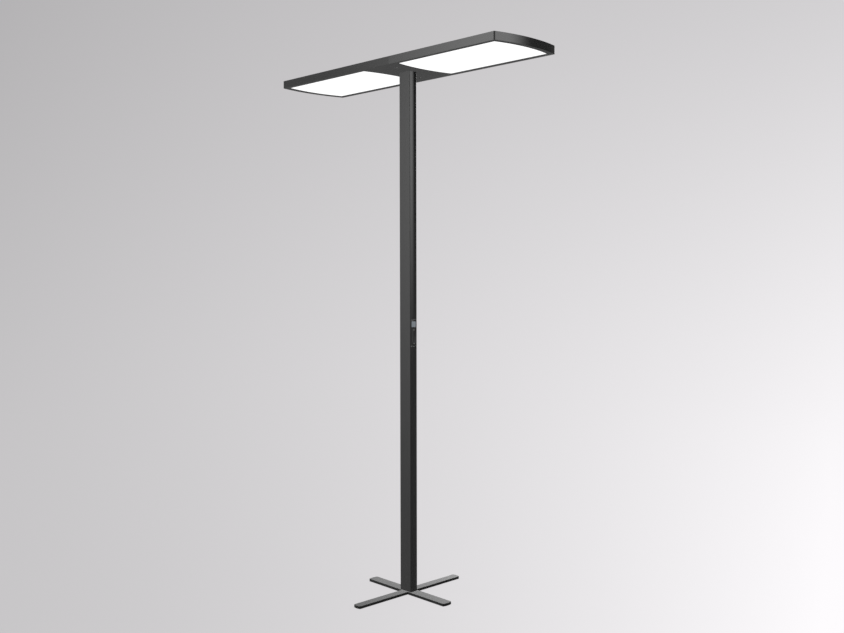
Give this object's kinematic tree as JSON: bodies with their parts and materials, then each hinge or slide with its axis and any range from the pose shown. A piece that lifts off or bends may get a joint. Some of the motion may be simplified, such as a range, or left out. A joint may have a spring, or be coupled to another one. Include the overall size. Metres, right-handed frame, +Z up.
{
  "type": "office floor lamp",
  "caption": "Free-standing office floor lamp: slim black pole on a flat cross foot, long flat head with bowed ends, light panels on both sides of the pole, and a sensor with a dimming rocker.",
  "frame": {"origin": "on the floor, on the pole's axis, at the centre of the cross foot", "axes": "+Z up along the pole, +X along the long head towards the pole's narrow side that holds the control unit, +Y across the head, away from the side seen in front"},
  "size_m": [1.162, 0.511, 1.95],
  "materials": {
    "foot_steel": "satin",
    "black_aluminium": "satin",
    "plain_aluminium": "satin",
    "bright_steel": "satin",
    "black_rubber": "matte",
    "black_plastic": "matte",
    "key_plastic": "satin",
    "lens_plastic": "satin",
    "opal_panel": "satin",
    "clear_acrylic": "gloss",
    "white_sheet": "matte",
    "white_board": "satin",
    "green_board": "satin",
    "switch_plastic": "satin",
    "terminal_plastic": "satin",
    "gear_case": "satin",
    "cable_jacket": "matte",
    "wire_jacket": "satin"
  },
  "bodies": {
    "stand": {"base_plate": "foot_steel", "floor_glides": "black_rubber", "base_screws": "bright_steel", "pole_profile": "black_aluminium", "inlet_gland": "black_plastic", "gland_nut": "black_plastic", "inlet_terminal": "terminal_plastic", "supply_riser": "cable_jacket", "control_housing": "black_plastic", "sensor_lens": "lens_plastic", "rocker_pin": "bright_steel", "control_board": "green_board", "key_switches": "switch_plastic", "motion_sensor": "bright_steel", "control_cable": "cable_jacket", "frame_band_right": "black_aluminium", "frame_band_left": "black_aluminium", "seam_brackets": "plain_aluminium", "bracket_screws": "bright_steel", "bridge_plate": "plain_aluminium", "bridge_screws": "bright_steel", "bottom_cover": "black_aluminium", "cover_screws": "bright_steel", "top_cover": "black_aluminium", "cover_posts": "plain_aluminium", "top_screws": "bright_steel", "diffuser_right": "opal_panel", "diffuser_left": "opal_panel", "light_guide_right": "clear_acrylic", "light_guide_left": "clear_acrylic", "reflector_right": "white_sheet", "reflector_left": "white_sheet", "led_strips_right": "white_board", "led_strips_left": "white_board", "light_tray_right": "plain_aluminium", "light_tray_left": "plain_aluminium", "uplight_board_right": "white_board", "uplight_board_left": "white_board", "top_window_right": "opal_panel", "top_window_left": "opal_panel", "led_driver": "gear_case", "control_gear": "gear_case", "terminal_block": "terminal_plastic", "head_wiring": "wire_jacket"},
    "key": {"rocker_key": "key_plastic"}
  },
  "joints": [
    {"name": "key_rock", "type": "hinge", "parent": "stand", "child": "key", "pos_m": [0.02, 0, 0.9585], "axis": [0, 1, 0], "range_deg": [-3, 3], "stiffness_Nm_per_rad": 0.8}
  ]
}
